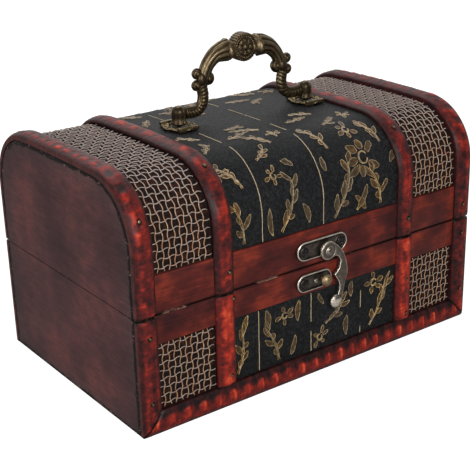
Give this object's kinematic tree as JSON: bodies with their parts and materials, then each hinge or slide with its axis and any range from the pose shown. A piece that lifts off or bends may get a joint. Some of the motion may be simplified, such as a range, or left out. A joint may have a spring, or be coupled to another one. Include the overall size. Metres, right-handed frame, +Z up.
{
  "type": "jewelry box",
  "caption": "Domed wooden keepsake chest: hinged lid, half-round trims and straps, leather and woven cladding, a swing hook latch and a folding bail handle.",
  "frame": {"origin": "middle of the underside of the bottom board, between the boards' outer faces", "axes": "+X along the box to the right seen from the front, -Y to the front with the latch, +Z up"},
  "size_m": [0.225, 0.1488, 0.1747],
  "materials": {
    "end_board": "dark red-brown satin varnish, fine grain",
    "inner_board": "plain unvarnished board",
    "band_wood": "red satin varnish, grain along the band",
    "trim": "embossed half-round moulding, red varnish with dark hollows",
    "weave": "open plain weave of dull cord over black",
    "leather": "black pebbled leather with raised gold work",
    "lining": "matt cloth",
    "handle_bronze": "aged bronze casting, worn on the high spots",
    "latch_metal": "aged plated metal, worn bright on the edges",
    "brass": "satin brass"
  },
  "bodies": {
    "box": {"body_back": "inner_board", "body_band_back": "band_wood", "body_band_front": "band_wood", "body_bottom": "inner_board", "body_end_left": "end_board", "body_end_right": "end_board", "body_front": "inner_board", "body_leather_back": "leather", "body_leather_front": "leather", "body_lining": "lining", "body_strap_back_left": "trim", "body_strap_back_right": "trim", "body_strap_front_left": "trim", "body_strap_front_right": "trim", "body_weave_back_left": "weave", "body_weave_back_right": "weave", "body_weave_front_left": "weave", "body_weave_front_right": "weave", "bottom_trim_back": "trim", "bottom_trim_front": "trim", "corner_trim_back_left": "trim", "corner_trim_back_right": "trim", "corner_trim_front_left": "trim", "corner_trim_front_right": "trim", "hinge_body_leaf_left": "brass", "hinge_body_leaf_right": "brass", "hinge_pin_left": "brass", "hinge_pin_right": "brass", "latch_lower_plate": "latch_metal", "latch_screw_lower": "latch_metal", "latch_small_pin": "latch_metal", "latch_stud": "brass"},
    "lid": {"handle_plate_left": "handle_bronze", "handle_plate_right": "handle_bronze", "handle_post_left": "handle_bronze", "handle_post_right": "handle_bronze", "hinge_lid_leaf_left": "brass", "hinge_lid_leaf_right": "brass", "latch_rivet": "latch_metal", "latch_screw_upper_left": "latch_metal", "latch_screw_upper_right": "latch_metal", "latch_upper_plate": "latch_metal", "lid_band_back": "band_wood", "lid_band_front": "band_wood", "lid_end_left": "end_board", "lid_end_right": "end_board", "lid_end_trim_left": "trim", "lid_end_trim_right": "trim", "lid_leather": "leather", "lid_lining": "lining", "lid_shell": "inner_board", "lid_strap_left": "trim", "lid_strap_right": "trim", "lid_weave_left": "weave", "lid_weave_right": "weave"},
    "bail": {"handle_bail": "handle_bronze"},
    "hook": {"latch_hook": "latch_metal"}
  },
  "joints": [
    {"name": "lid_hinge", "type": "hinge", "parent": "box", "child": "lid", "pos_m": [0, 0.071, 0.0635], "axis": [-1, 0, 0], "range_deg": [0, 100]},
    {"name": "bail_swing", "type": "hinge", "parent": "lid", "child": "bail", "pos_m": [0.0035, 0, 0.1365], "axis": [1, 0, 0], "range_deg": [-92, 92]},
    {"name": "hook_swing", "type": "hinge", "parent": "lid", "child": "hook", "pos_m": [0.0033, -0.0725, 0.07078], "axis": [0, -1, 0], "range_deg": [0, 110]}
  ]
}
